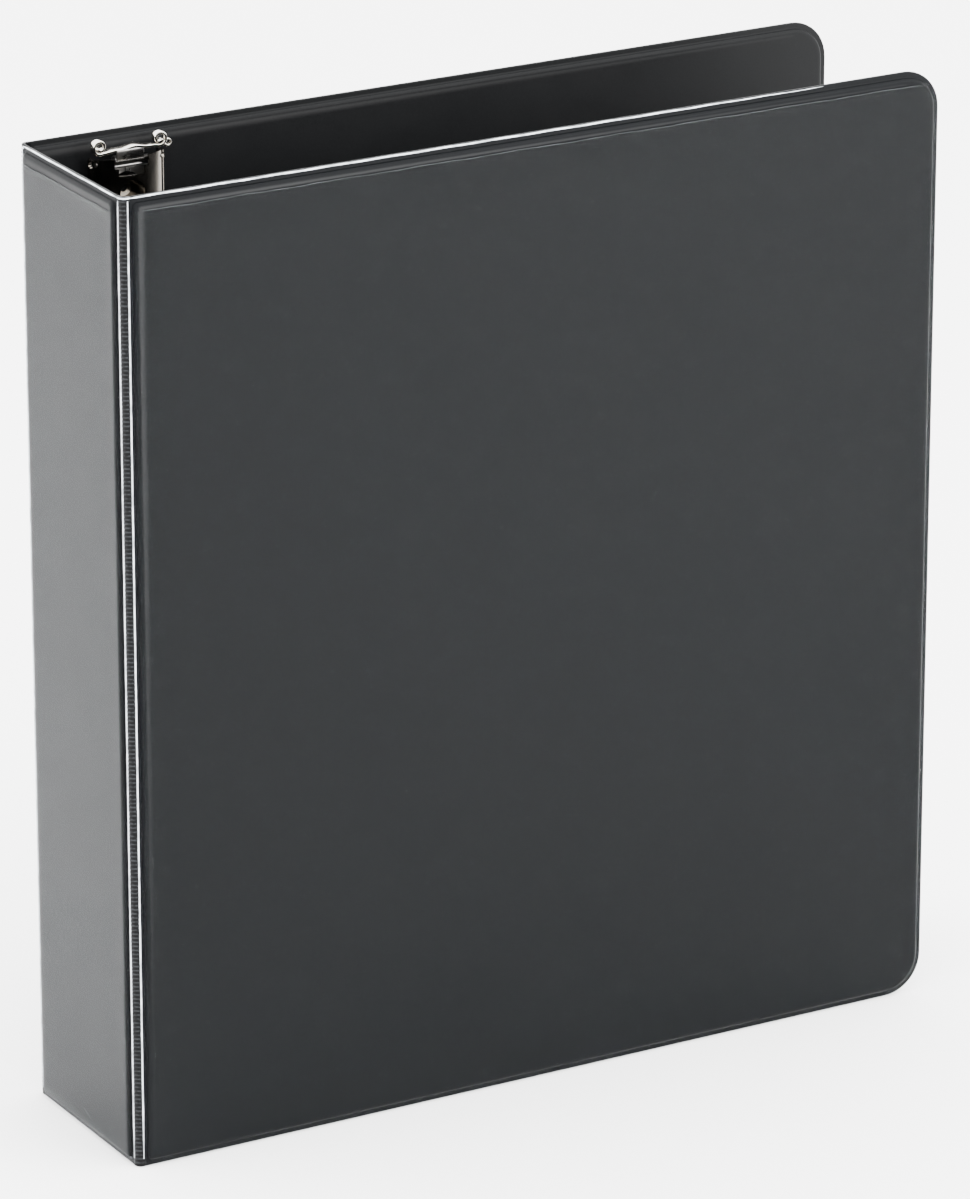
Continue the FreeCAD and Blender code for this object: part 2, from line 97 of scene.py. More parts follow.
def noise(tree, coords, scale, detail=3.0, roughness=0.5):
    inputs = {"Vector": coords, "Scale": scale, "Detail": detail, "Roughness": roughness}
    return node(tree, "TexNoise", inputs).outputs["Fac"]


def ramp(tree, factor, *stops):
    made = node(tree, "ValToRGB", {"Fac": factor})
    for element, (position, colour) in zip(made.color_ramp.elements, stops):
        element.position = position
        element.color = (*colour, 1.0)
    return made.outputs["Color"]


def spread(tree, value, source, target):
    # maps a value from the source range onto the target range
    ends = {"From Min": source[0], "From Max": source[1], "To Min": target[0], "To Max": target[1]}
    return node(tree, "MapRange", {"Value": value, **ends}).outputs["Result"]


def bump(tree, height, strength, distance, normal=None):
    inputs = {"Height": height, "Strength": strength, "Distance": distance}
    if normal:
        inputs["Normal"] = normal
    return node(tree, "Bump", inputs).outputs["Normal"]


def lighten(tree, colour, extra):
    mixed = node(tree, "Mix", {"Factor": 1.0, "A": colour, "B": extra}, data_type="RGBA", blend_type="ADD")
    return mixed.outputs["Result"]


def grey(level):
    return (level, level, level)


# materials

vinylLook = {
    "dark": (0.0014, 0.0017, 0.0021),
    "light": (0.0025, 0.0029, 0.0033),
    "roughness": (0.38, 0.46),
    "specular": 0.03,
    "coat": 1.0,            # the clear film pressed against the skin gives it a second, smoother gloss
    "coatIor": 1.105,
    "coatRoughness": 0.32,
    "pebbleSize": 1560.0,   # pebbles per metre
    "grainSize": 2600.0,
    "grainHeight": 0.00002,
    "mottleSize": 1900.0,
    "waveSize": 9.0,
    "waveHeight": 0.0006,
    "glossSize": 60.0,
    "wear": 0.012,          # how much paler a sharp edge is
    "wearRange": (0.57, 0.72),
}


def makeVinyl(name, **changes):
    look = {**vinylLook, **changes}
    material, tree, out = newMaterial(name)
    coords = node(tree, "TexCoord").outputs["Object"]
    pebbles = node(tree, "TexVoronoi", {"Vector": coords, "Scale": look["pebbleSize"], "Randomness": 1.0})
    fine = noise(tree, coords, look["grainSize"], 2.0)
    broad = noise(tree, coords, look["waveSize"], 2.0)
    mottle = noise(tree, coords, look["mottleSize"], 3.0, 0.6)
    tone = ramp(tree, mottle, (0.3, look["dark"]), (0.72, look["light"]))
    patches = noise(tree, coords, look["glossSize"], 4.0, 0.65)
    pointed = node(tree, "NewGeometry").outputs["Pointiness"]
    start, end = look["wearRange"]
    edge = ramp(tree, pointed, (start, grey(0.0)), (end, grey(look["wear"])))
    height = node(tree, "Math", {0: pebbles.outputs["Distance"], 1: fine}, operation="ADD").outputs[0]
    grain = bump(tree, height, 0.3, look["grainHeight"])
    shader = node(tree, "BsdfPrincipled", {
        "Base Color": lighten(tree, tone, edge),
        "Roughness": spread(tree, patches, (0.3, 0.7), look["roughness"]),
        "Specular IOR Level": look["specular"], "Normal": bump(tree, broad, 0.5, look["waveHeight"], grain),
        "Coat Weight": look["coat"], "Coat IOR": look["coatIor"], "Coat Roughness": look["coatRoughness"],
    })
    tree.links.new(shader.outputs[0], out.inputs["Surface"])
    return material


filmLook = {
    "tint": (0.955, 0.958, 0.96),
    "shine": (0.95, 0.97, 1.0),
    "roughness": (0.3, 0.36),
    "ior": 1.145,
    "gloss": 0.15,          # share of the mirror strength that the loose film itself shows
    "waveSize": 14.0,
    "waveHeight": 0.00015,
    "rippleSize": 90.0,
    "rippleHeight": 0.0001,
    "scuffSize": 700.0,
}


def makeFilm(name, look):
    material, tree, out = newMaterial(name)
    coords = node(tree, "TexCoord").outputs["Object"]
    wave = bump(tree, noise(tree, coords, look["waveSize"], 2.0), 0.6, look["waveHeight"])
    fine = bump(tree, noise(tree, coords, look["rippleSize"], 2.0), 0.15, look["rippleHeight"], wave)
    scuff = noise(tree, coords, look["scuffSize"], 4.0, 0.7)
    clear = node(tree, "BsdfTransparent", {"Color": (*look["tint"], 1.0)})
    shine = node(tree, "BsdfGlossy", {
        "Color": (*look["shine"], 1.0), "Roughness": spread(tree, scuff, (0.35, 0.7), look["roughness"]),
        "Normal": fine,
    })
    mirror = node(tree, "Fresnel", {"IOR": look["ior"], "Normal": fine})
    # only the outer face of the film shines, so its inner face lets everything through
    outside = spread(tree, node(tree, "NewGeometry").outputs["Backfacing"], (0.0, 1.0), (look["gloss"], 0.0))
    share = node(tree, "Math", {0: mirror.outputs[0], 1: outside}, operation="MULTIPLY")
    both = node(tree, "MixShader", {"Fac": share.outputs[0], 1: clear.outputs[0], 2: shine.outputs[0]})
    tree.links.new(both.outputs[0], out.inputs["Surface"])
    return material


beadLook = {
    # colour, shade, roughness and specular level of the sealed bead and of a cut edge of film; the sealed
    # bead's near-white colour is a painted highlight along the rounded beads, and the cut edge's grey a
    # painted highlight along the film's edge
    "seal": ((0.66, 0.69, 0.72), (0.30, 0.32, 0.34), 0.22, 0.5),
    "cut": ((0.026, 0.028, 0.030), (0.012, 0.013, 0.014), 0.4, 0.12),
    "unevenSize": 260.0,
    "unevenHeight": 0.0002,
    "milkiness": 0.15,
    "milkDepth": 0.0006,
}


def makeBead(name, colour, shade, roughness, specular):
    material, tree, out = newMaterial(name)
    coords = node(tree, "TexCoord").outputs["Object"]
    uneven = noise(tree, coords, beadLook["unevenSize"], 3.0)
    # the colour and shade passed in are painted highlights, varied by noise
    shader = node(tree, "BsdfPrincipled", {
        "Base Color": ramp(tree, uneven, (0.35, shade), (0.6, colour)),
        "Roughness": roughness, "Specular IOR Level": specular,
        "Subsurface Weight": beadLook["milkiness"], "Subsurface Radius": grey(beadLook["milkDepth"]),
        "Normal": bump(tree, uneven, 0.3, beadLook["unevenHeight"]),
    })
    tree.links.new(shader.outputs[0], out.inputs["Surface"])
    return material


metalLook = {
    # bright and dull colour, roughness from one to the other, and how much paler a sharp edge is
    "nickel": ((0.76, 0.725, 0.66), (0.55, 0.52, 0.465), (0.09, 0.2), 0.12),
    # the housing is nickel like the rings, darkened as painted shade
    "housing": ((0.13, 0.117, 0.1), (0.088, 0.079, 0.067), (0.12, 0.2), 0.02),
    # partly the steel's own grey, partly painted shade: darkened for the lever necks, which are really nickel
    # like the lever, and the rails take it too
    "shadedSteel": ((0.22, 0.21, 0.20), (0.14, 0.135, 0.13), (0.22, 0.34), 0.08),
    # near-black: painted shade on the lever pins
    "pin": ((0.045, 0.043, 0.040), (0.030, 0.029, 0.027), (0.3, 0.42), 0.0),
    "patchSize": 120.0,
    "brushSize": 1500.0,
    "brushHeight": 0.00004,
    "wearRange": (0.5, 0.62),
}


def makeMetal(name, bright, dull, roughness, wear):
    material, tree, out = newMaterial(name)
    coords = node(tree, "TexCoord").outputs["Object"]
    patches = noise(tree, coords, metalLook["patchSize"], 4.0, 0.6)
    tone = ramp(tree, patches, (0.35, dull), (0.62, bright))
    start, end = metalLook["wearRange"]
    pointed = node(tree, "NewGeometry").outputs["Pointiness"]
    worn = ramp(tree, pointed, (start, grey(0.0)), (end, grey(wear)))
    brushing = noise(tree, coords, metalLook["brushSize"], 2.0)
    shader = node(tree, "BsdfPrincipled", {
        "Base Color": lighten(tree, tone, worn), "Metallic": 1.0,
        "Roughness": spread(tree, patches, (0.3, 0.7), roughness),
        "Normal": bump(tree, brushing, 0.12, metalLook["brushHeight"]),
    })
    tree.links.new(shader.outputs[0], out.inputs["Surface"])
    return material


boardLook = {
    "dark": (0.2, 0.18, 0.15),
    "light": (0.34, 0.31, 0.27),
    "roughness": 0.9,
    "fibreSize": 500.0,
    "fibreHeight": 0.0001,
}


def makeBoard(name, look):
    material, tree, out = newMaterial(name)
    coords = node(tree, "TexCoord").outputs["Object"]
    fibres = noise(tree, coords, look["fibreSize"], 5.0, 0.7)
    shader = node(tree, "BsdfPrincipled", {
        "Base Color": ramp(tree, fibres, (0.3, look["dark"]), (0.7, look["light"])),
        "Roughness": look["roughness"], "Normal": bump(tree, fibres, 0.4, look["fibreHeight"]),
    })
    tree.links.new(shader.outputs[0], out.inputs["Surface"])
    return material


weldLook = {
    # the valley colour is painted shade between the ribs, the paler crest colour a painted highlight on them
    "valley": (0.0008, 0.0009, 0.0011),
    "crest": (0.0125, 0.0133, 0.0145),
    "roughness": (0.34, 0.46),
    "specular": 0.07,
    "ribPitch": 1.25,       # about, because a whole number of ribs fills the height
    "unevenSize": 900.0,
    "unevenHeight": 0.00003,
}
ribCount = int(binder["height"] / weldLook["ribPitch"])


# dark vinyl with a painted highlight on each rib crest and painted shade in the valleys between
def makeWeld(name, look):
    material, tree, out = newMaterial(name)
    coords = node(tree, "TexCoord").outputs["Object"]
    # the bands repeat every 2 pi / (20 * scale), so this gives one for each rib
    pitch = binder["height"] / ribCount * mm
    ribs = node(tree, "TexWave", {
        "Vector": coords, "Scale": 2 * math.pi / (20 * pitch), "Distortion": 0.0, "Phase Offset": math.pi,
    }, bands_direction="Z")
    uneven = noise(tree, coords, look["unevenSize"], 3.0, 0.6)
    height = node(tree, "Math", {0: ribs.outputs["Fac"], 1: uneven}, operation="MULTIPLY")
    # colour runs from painted shade in the valleys to a painted highlight on the crests
    shader = node(tree, "BsdfPrincipled", {
        "Base Color": ramp(tree, height.outputs[0], (0.3, look["valley"]), (0.52, look["crest"])),
        "Roughness": spread(tree, uneven, (0.3, 0.7), look["roughness"]),
        "Specular IOR Level": look["specular"], "Normal": bump(tree, uneven, 0.3, look["unevenHeight"]),
    })
    tree.links.new(shader.outputs[0], out.inputs["Surface"])
    return material


blackVinyl = makeVinyl("blackVinyl")
bareVinyl = makeVinyl("bareVinyl", coat=0.0, specular=0.045)
linerVinyl = makeVinyl("linerVinyl", dark=(0.0020, 0.0022, 0.0024), light=(0.0042, 0.0045, 0.0048),
                       specular=0.06, roughness=(0.42, 0.52), coat=0.0)
weldVinyl = makeWeld("weldVinyl", weldLook)
pocketVinyl = makeVinyl("pocketVinyl", dark=(0.0030, 0.0033, 0.0037), light=(0.0048, 0.0053, 0.0058),
                        specular=0.095, roughness=(0.3, 0.38), coat=0.0)
clearFilm = makeFilm("clearFilm", filmLook)
# near-white colour: a painted highlight on the top, corner and hinge beads
paintedHighlightBead = makeBead("paintedHighlightBead", *beadLook["seal"])
# grey colour: a painted highlight along the cut edge of the film
filmEdgeHighlight = makeBead("filmEdgeHighlight", *beadLook["cut"])
nickel = makeMetal("nickelPlate", *metalLook["nickel"])
housingNickelShaded = makeMetal("housingNickelShaded", *metalLook["housing"])
shadedSteel = makeMetal("railSteelShaded", *metalLook["shadedSteel"])
pinSteelShaded = makeMetal("pinSteelShaded", *metalLook["pin"])
chipboard = makeBoard("chipboard", boardLook)
print("materials made")


# mesh helpers

def makePiece(name, points, faces, material, flatFaces=()):
    mesh = bpy.data.meshes.new(name)
    mesh.from_pydata([tuple(c * mm for c in p) for p in points], [], faces)
    mesh.validate()
    mesh.polygons.foreach_set("use_smooth", [True] * len(mesh.polygons))
    for index in flatFaces:
        mesh.polygons[index].use_smooth = False
    mesh.materials.append(material)
    piece = bpy.data.objects.new(name, mesh)
    bpy.context.scene.collection.objects.link(piece)
    bm = bmesh.new()
    bm.from_mesh(mesh)
    bmesh.ops.remove_doubles(bm, verts=bm.verts, dist=1e-7)
    bmesh.ops.recalc_face_normals(bm, faces=bm.faces)
    bm.to_mesh(mesh)
    bm.free()
    return piece


def cutAcross(bm, origin, normal, clear=False):
    # new edges where a plane crosses the mesh, and nothing beyond the plane if clear is set
    bmesh.ops.bisect_plane(bm, geom=bm.verts[:] + bm.edges[:] + bm.faces[:], dist=1e-8,
                           plane_co=origin, plane_no=normal, clear_outer=clear)


def bands(rows, ring, first=0):
    # faces between successive rings of points, closed round each ring
    faces = []
    for row in range(rows):
        for k in range(ring):
            a, b = first + row * ring + k, first + row * ring + (k + 1) % ring
            faces.append((a, b, b + ring, a + ring))
    return faces


def caps(rows, ring, first=0):
    # the two end faces of such a stack of rings
    last = first + rows * ring
    return [tuple(range(first, first + ring)), tuple(range(last, last + ring))]


# a panel's own frame: across and up its face, and depth inwards from its outer plane
def panelPoint(side, across, up, depth):
    if side == "front":
        return (across, depth - halfDepth, up)
    if side == "back":
        return (across, halfDepth - depth, up)
    return (depth - halfWidth, across, up)


# from where to where each panel runs across its face
spineReach = halfDepth - binder["hingeEdge"]
panels = {
    "front": {"low": binder["hingeEdge"] - halfWidth, "high": halfWidth, "foreEdge": True},
    "back": {"low": binder["hingeEdge"] - halfWidth, "high": halfWidth, "foreEdge": True},
    "spine": {"low": -spineReach, "high": spineReach, "foreEdge": False},
}
bodyOf = {"front": "front_cover", "back": "back_cover", "spine": "spine"}


def outline(side, inset, steps=10):
    # rounded outline of a panel at an inset, always with the same number of points
    panel = panels[side]
    ends = []
    for edge, free, sign in ((panel["low"], False, 1), (panel["high"], panel["foreEdge"], -1)):
        # the weld flange is narrower beside a hinge than along a free edge
        if free:
            away = inset
            radius = max(binder["foreCorner"] - inset, binder["leastCorner"])
        else:
            narrow = binder["hingeFlange"] / binder["seamWidth"]
            away = min(inset, binder["seamWidth"]) * narrow + max(inset - binder["seamWidth"], 0.0)
            grown = binder["hingeCornerStart"] + inset * binder["hingeCornerGrowth"]
            radius = min(binder["hingeCorner"], grown)
        ends.append((edge + sign * away, radius))
    (x0, r0), (x1, r1) = ends
    z0, z1 = inset, binder["height"] - inset
    points = []
    for cx, cz, radius, start in (
        (x1 - r1, z0 + r1, r1, -90), (x1 - r1, z1 - r1, r1, 0),
        (x0 + r0, z1 - r0, r0, 90), (x0 + r0, z0 + r0, r0, 180),
    ):
        for k in range(steps + 1):
            angle = math.radians(start + 90 * k / steps)
            points.append((cx + radius * math.cos(angle), cz + radius * math.sin(angle)))
    return points


def loopShell(side, section):
    # points and faces of a panel skin: rings of outline along a section, and the points in one ring
    points = []
    for inset, depth in section:
        points += [panelPoint(side, x, z, depth) for x, z in outline(side, inset)]
    count = len(points) // len(section)
    return points, bands(len(section) - 1, count), count


# skins and liners: inset from the edge and depth, from the board side round to the face
skinSection = {
    "outer": [(2.2, 0.85), (2.2, 2.05), (0.0, 2.05), (0.0, 1.78), (0.1, 1.67), (0.3, 1.65), (1.3, 1.65),
              (1.62, 1.6), (1.78, 1.45), (1.82, 1.2), (1.9, 0.95), (2.08, 0.74), (2.4, 0.56), (2.85, 0.47),
              (3.4, 0.45), (3.6, 0.45), (5.0, 0.45), (8.0, 0.45)],
    "inner": [(2.2, 3.25), (2.2, 2.05), (0.0, 2.05), (0.0, 2.3), (0.1, 2.42), (0.3, 2.45), (1.3, 2.45),
              (1.62, 2.5), (1.78, 2.65), (1.82, 2.9), (1.9, 3.15), (2.08, 3.36), (2.4, 3.54), (2.85, 3.63),
              (3.4, 3.65), (3.6, 3.65), (5.0, 3.65), (8.0, 3.65)],
}
# clear overlays: open along the top, with a slightly wavy cut edge
film = {
    "section": [(0.15, 1.43), (1.2, 1.43), (1.5, 1.38), (1.6, 1.2), (1.63, 0.85), (1.75, 0.5), (2.05, 0.2),
                (2.5, 0.06), (3.1, 0.01), (3.8, 0.0)],
    "thickness": 0.15,
    "drop": {"front": 4.1, "back": 4.1, "spine": 4.9},     # how far the cut edge is below the top
    "edgeBand": 2.0,
    "cutStep": 4.0,
    "leastCuts": 8,
    "edgeWave": 0.1,
    "edgeRates": (0.21, 0.57),      # long and short waves of the cut edge, in radians per mm
    "edgeShare": 0.6,               # of the short wave
    "edgeLower": 1.6,               # keeps the whole wave below the cut
    "edgeGap": 0.05,
    "gapRate": 0.16,
    "edgeRadius": 0.13,
    "edgeStep": 3.0,
    "edgeInset": 2.6,       # from a hinge
    "edgeForeInset": 7.2,   # from a fore-edge
    "edgeDepth": 0.16,
}


# the strip of skin that shows above an overlay has no film against it
def bareTop(piece, level):
    piece.data.materials.append(bareVinyl)
    bm = bmesh.new()
    bm.from_mesh(piece.data)
    cutAcross(bm, (0, 0, level), (0, 0, 1))
    for face in bm.faces:
        if face.calc_center_median().z > level:
            face.material_index = 1
    bm.to_mesh(piece.data)
    bm.free()


for side in panels:
    for face, label, cad in (("outer", "Skin", "outer_skin"), ("inner", "Liner", "inner_liner")):
        points, faces, count = loopShell(side, skinSection[face])
        first = len(faces)
        faces += caps(len(skinSection[face]) - 1, count)
        material = blackVinyl if face == "outer" else linerVinyl
        skin = makePiece(side + label, points, faces, material, (first, first + 1))
        if face == "outer":
            bareTop(skin, (binder["height"] - film["drop"][side]) * mm)
        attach(skin, bodyOf[side])
        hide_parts(side + "_" + cad)
print("skins and liners made")

filmWave = {side: random.uniform(0, 6.28) for side in panels}


# how far the cut edge of an overlay wanders up and inwards at a place along it, in mm
def edgeRise(side, s):
    wave = filmWave[side]
    slow, fast = film["edgeRates"]
    ripple = math.sin(s * slow + wave) + film["edgeShare"] * math.sin(s * fast + 2 * wave)
    return film["edgeWave"] * (ripple - film["edgeLower"])


def edgeSink(side, s):
    return film["edgeGap"] * (0.5 + 0.5 * math.sin(s * film["gapRate"] + filmWave[side]))


def makeOverlay(side):
    points, faces, count = loopShell(side, film["section"])
    faces.append(caps(len(film["section"]) - 1, count)[1])
    overlay = makePiece(side + "Film", points, faces, clearFilm)
    mesh = overlay.data
    bm = bmesh.new()
    bm.from_mesh(mesh)
    top = (binder["height"] - film["drop"][side]) * mm
    cutAcross(bm, (0, 0, top), (0, 0, 1), True)
    cutAcross(bm, (0, 0, top - film["edgeBand"] * mm), (0, 0, 1))
    axis = Vector((0, 1, 0)) if side == "spine" else Vector((1, 0, 0))
    low, high = panels[side]["low"], panels[side]["high"]
    steps = max(film["leastCuts"], int((high - low) / film["cutStep"]))
    for k in range(1, steps):
        cutAcross(bm, tuple(axis * (low + (high - low) * k / steps) * mm), tuple(axis))
    inward = Vector(panelPoint(side, 0, 0, 1)) - Vector(panelPoint(side, 0, 0, 0))
    for v in bm.verts:
        if v.co.z > top - 1e-6:
            s = v.co.dot(axis) / mm
            v.co.z += edgeRise(side, s) * mm
            v.co += inward * edgeSink(side, s) * mm
    bmesh.ops.recalc_face_normals(bm, faces=bm.faces)
    outwardFace = max(bm.faces, key=lambda f: f.calc_area())
    if outwardFace.normal.dot(inward) > 0:
        bmesh.ops.reverse_faces(bm, faces=bm.faces)
    bm.to_mesh(mesh)
    bm.free()
    for polygon in mesh.polygons:
        polygon.use_smooth = True
    thick = overlay.modifiers.new("thickness", "SOLIDIFY")
    thick.thickness = film["thickness"] * mm
    thick.offset = -1.0
    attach(overlay, bodyOf[side])
    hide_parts(side + "_clear_overlay")


for side in panels:
    makeOverlay(side)
print("clear overlays made")

# document pockets inside the covers: a thin sheet welded along three edges, with a hemmed mouth
pocket = {
    "sheet": 0.25,
    "gap": 0.3,
    "weld": 2.0,            # width of the welded flange
    "weldSlope": 0.6,
    "grooveAt": 1.0,
    "grooveWidth": 0.15,
    "grooveDepth": 0.11,
    "gape": 0.8,            # how far the middle of the mouth stands off
    "sag": 0.6,
    "hem": 0.9,
    "hemRise": 0.12,
    "hemSlope": 0.2,
    "gridStep": 5.0,
    # grid lines beside a welded edge and beside the mouth
    "weldedLines": [0.0, 0.3, 0.6, 0.8, 0.9, 1.0, 1.1, 1.2, 1.4, 1.7, 2.0, 2.15, 2.3, 2.45, 2.6],
    "hemmedLines": [0.0, 0.3, 0.7, 0.9, 1.1, 1.6],
}


def smooth(x):
    x = min(max(x, 0.0), 1.0)
    return x * x * (3 - 2 * x)


def gridLines(start, end, nearStart, nearEnd):
    # closer together beside each end, evenly spaced between
    first, last = start + nearStart[-1], end - nearEnd[-1]
    count = int((last - first) / pocket["gridStep"])
    middle = [first + (last - first) * k / count for k in range(1, count)]
    return [start + d for d in nearStart] + middle + [end - d for d in reversed(nearEnd)]


def makePocket(side):
    lowCorner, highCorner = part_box(side + "_inner_pocket")
    low, high = lowCorner.x / mm, highCorner.x / mm
    foot, mouth = lowCorner.z / mm, highCorner.z / mm
    columns = gridLines(low, high, pocket["weldedLines"], pocket["weldedLines"])
    rows = gridLines(foot, mouth, pocket["weldedLines"], pocket["hemmedLines"])
    outer, under = [], []
    for z in rows:
        for x in columns:
            inFrom = min(x - low, high - x, z - foot)
            rise = smooth((inFrom - pocket["weld"]) / pocket["weldSlope"])
            across, along = (x - low) / (high - low), (z - foot) / (mouth - foot)
            bow = math.sin(math.pi * across)
            height = pocket["sheet"] + pocket["gap"] * rise + pocket["gape"] * bow * along ** 3 * rise
            groove = ((inFrom - pocket["grooveAt"]) / pocket["grooveWidth"]) ** 2
            height -= pocket["grooveDepth"] * math.exp(-groove)
            fromHem = pocket["hem"] + pocket["hemSlope"] - (mouth - z)
            height += pocket["hemRise"] * smooth(fromHem / pocket["hemSlope"])
            up = z - pocket["sag"] * bow * along ** 4
            back = max(height - pocket["sheet"], 0.01)
            outer.append(panelPoint(side, x, up, binder["linerDepth"] + height))
            under.append(panelPoint(side, x, up, binder["linerDepth"] + back))
    wide, tall = len(columns), len(rows)
    size = wide * tall
    faces = []
    for j in range(tall - 1):
        for k in range(wide - 1):
            a = j * wide + k
            faces.append((a, a + 1, a + wide + 1, a + wide))
            faces.append((a + size, a + wide + size, a + wide + 1 + size, a + 1 + size))
    border = list(range(wide)) + [j * wide + wide - 1 for j in range(1, tall)]
    border += [(tall - 1) * wide + k for k in range(wide - 2, -1, -1)]
    border += [j * wide for j in range(tall - 2, 0, -1)]
    for a, b in zip(border, border[1:] + border[:1]):
        faces.append((a, b, b + size, a + size))
    piece = makePiece(side + "Pocket", outer + under, faces, pocketVinyl)
    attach(piece, bodyOf[side])
    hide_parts(side + "_inner_pocket")


makePocket("front")
makePocket("back")
print("document pockets made")

# hinge webs: a ribbed weld between two smooth beads, rounded at the corner between spine and cover
hinge = {
    "bend": 1.5,
    "bendSteps": 8,
    "half": 0.4,            # half the web's thickness
    "ribHeight": 0.26,
    "stepsPerRib": 6,
    "plainPoints": 2,       # points at each side of the section that carry no rib
    "beadRadius": 0.25,
    "beadStandoff": 0.12,
    "beadFoot": 2.4,        # the beads stop this far above the bottom
    "beadHead": 1.2,
    "beadSteps": 24,
}
# which bodies each web joins, and which way it faces: -1 front, 1 back
webs = {
    "front": {"sign": -1, "bodies": ("spine", "front_cover")},
    "back": {"sign": 1, "bodies": ("back_cover", "spine")},
}


def webSection(offset, sign):
    # points across the web at an offset from its middle, from the spine to the cover
    seam, edge, bend = binder["seamDepth"], binder["hingeEdge"], hinge["bend"]
    section = [(seam + offset, edge)]
    radius = bend - offset
    for k in range(hinge["bendSteps"] + 1):
        angle = math.radians(180 + 90 * k / hinge["bendSteps"])
        section.append((seam + bend + radius * math.cos(angle), seam + bend + radius * math.sin(angle)))
    section.append((edge, seam + offset))
    return [(x - halfWidth, sign * (halfDepth - y)) for x, y in section]


def bendWith(piece, web):
    # works out the ends of the flexible part, which are not used, and bakes the piece's transform into its
    # mesh
    section = webSection(0.0, web["sign"])
    ends = [tuple(Vector((x, y, binder["height"] / 2)) * mm) for x, y in (section[0], section[-1])]
    if web["bodies"][0] != "spine":
        ends.reverse()
    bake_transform(piece)


def makeWeb(side, web):
    outer, inner = webSection(-hinge["half"], web["sign"]), webSection(hinge["half"], web["sign"])
    across = len(outer)
    rows = ribCount * hinge["stepsPerRib"]
    points = []
    for row in range(rows + 1):
        z = binder["height"] * row / rows
        turn = 2 * math.pi * (row % hinge["stepsPerRib"]) / hinge["stepsPerRib"]
        rise = 0.0 if row in (0, rows) else 0.5 + 0.5 * math.cos(turn)
        for k, (x, y) in enumerate(outer):
            ribbed = 1.0 if hinge["plainPoints"] <= k < across - hinge["plainPoints"] else 0.0
            mx, my = inner[k]
            lift = hinge["ribHeight"] * rise * ribbed / math.hypot(x - mx, y - my)
            points.append((x + (x - mx) * lift, y + (y - my) * lift, z))
        points += [(x, y, z) for x, y in reversed(inner)]
    faces = bands(rows, 2 * across) + caps(rows, 2 * across)
    piece = makePiece(side + "HingeWeb", points, faces, weldVinyl)
    bendWith(piece, web)
    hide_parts(side + "_hinge_web")


for side, web in webs.items():
    makeWeb(side, web)


# beads: round seams along the tops and beside the hinge ribs
seal = {"sides": 10, "cutEdgeSides": 8, "endSize": 0.55}


def tube(name, path, radius, material, sides=seal["sides"]):
    # a closed tube along a path of points, drawn in a little at both ends
    points = []
    path = [Vector(p) for p in path]
    count = len(path)
    for k, centre in enumerate(path):
        ahead = (path[min(k + 1, count - 1)] - path[max(k - 1, 0)]).normalized()
        side = ahead.orthogonal() if abs(ahead.z) > 0.9 else Vector((0, 0, 1)).cross(ahead)
        side.normalize()
        up = ahead.cross(side)
        size = radius[k] if isinstance(radius, list) else radius
        if k in (0, count - 1):
            size *= seal["endSize"]
        for j in range(sides):
            angle = 2 * math.pi * j / sides
            points.append(centre + (side * math.cos(angle) + up * math.sin(angle)) * size)
    return makePiece(name, points, bands(count - 1, sides) + caps(count - 1, sides), material)


crest = {
    "radius": 0.26,
    "tipRadius": 0.09,      # where a cover's bead thins out and ends, short of the fore-edge
    "depth": 1.5,
    "drop": {"front": 0.36, "spine": 0.36, "back": 0.95},
    "fadeFrom": 95.0,       # in from the fore-edge
    "fadeTo": 40.0,
    "step": 3.0,
    "wander": 0.05,
    "wanderRate": 0.35,
    "cornerStandoff": 0.08,
}


def spotsAlong(low, high, step):
    steps = int((high - low) / step)
    return [low + (high - low) * k / steps for k in range(steps + 1)]


def crestPath(side):
    # along a panel's top edge, stopping short of a free fore-edge
    low, high = panels[side]["low"], panels[side]["high"]
    if panels[side]["foreEdge"]:
        high -= crest["fadeTo"]
    level = binder["height"] - crest["drop"][side]
    return [panelPoint(side, x, level + crest["wander"] * math.sin(x * crest["wanderRate"]), crest["depth"])
            for x in spotsAlong(low, high, crest["step"])]


def crestRadius(side, x):
    if not panels[side]["foreEdge"]:
        return crest["radius"]
    start = panels[side]["high"] - crest["fadeFrom"]
    end = panels[side]["high"] - crest["fadeTo"]
    share = min(max((x - start) / (end - start), 0.0), 1.0)
    return crest["radius"] + (crest["tipRadius"] - crest["radius"]) * share


# the cut edge of each overlay, a thin line below the top bead, its grey colour a painted highlight along the
# film's edge
for side, panel in panels.items():
    low = panel["low"] + film["edgeInset"]
    high = panel["high"] - (film["edgeForeInset"] if panel["foreEdge"] else film["edgeInset"])
    level = binder["height"] - film["drop"][side]
    path = [panelPoint(side, s, level + edgeRise(side, s), edgeSink(side, s) + film["edgeDepth"])
            for s in spotsAlong(low, high, film["edgeStep"])]
    edge = tube(side + "FilmEdge", path, film["edgeRadius"], filmEdgeHighlight, seal["cutEdgeSides"])
    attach(edge, bodyOf[side])

for side in panels:
    path = crestPath(side)
    bead = tube(side + "TopBead", path, [crestRadius(side, p[0]) for p in path], paintedHighlightBead)
    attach(bead, bodyOf[side])

for side, web in webs.items():
    level = binder["height"] - crest["drop"][side]
    top = [(x, y, level) for x, y in webSection(-hinge["half"] - crest["cornerStandoff"], web["sign"])]
    corner = tube(side + "CornerBead", top, crest["radius"], paintedHighlightBead)
    bendWith(corner, web)
    outerLine = webSection(-hinge["half"] - hinge["beadStandoff"], web["sign"])
    for place, (x, y), body in (("Spine", outerLine[1], "spine"), ("Cover", outerLine[-2], bodyOf[side])):
        reach = (binder["height"] - hinge["beadFoot"] - hinge["beadHead"]) / hinge["beadSteps"]
        path = [(x, y, hinge["beadFoot"] + reach * k) for k in range(hinge["beadSteps"] + 1)]
        bead = tube(side + place + "HingeBead", path, hinge["beadRadius"], paintedHighlightBead)
        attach(bead, body)
print("hinge webs and beads made")


# nodes that stay as they are, with their finish and softened edges

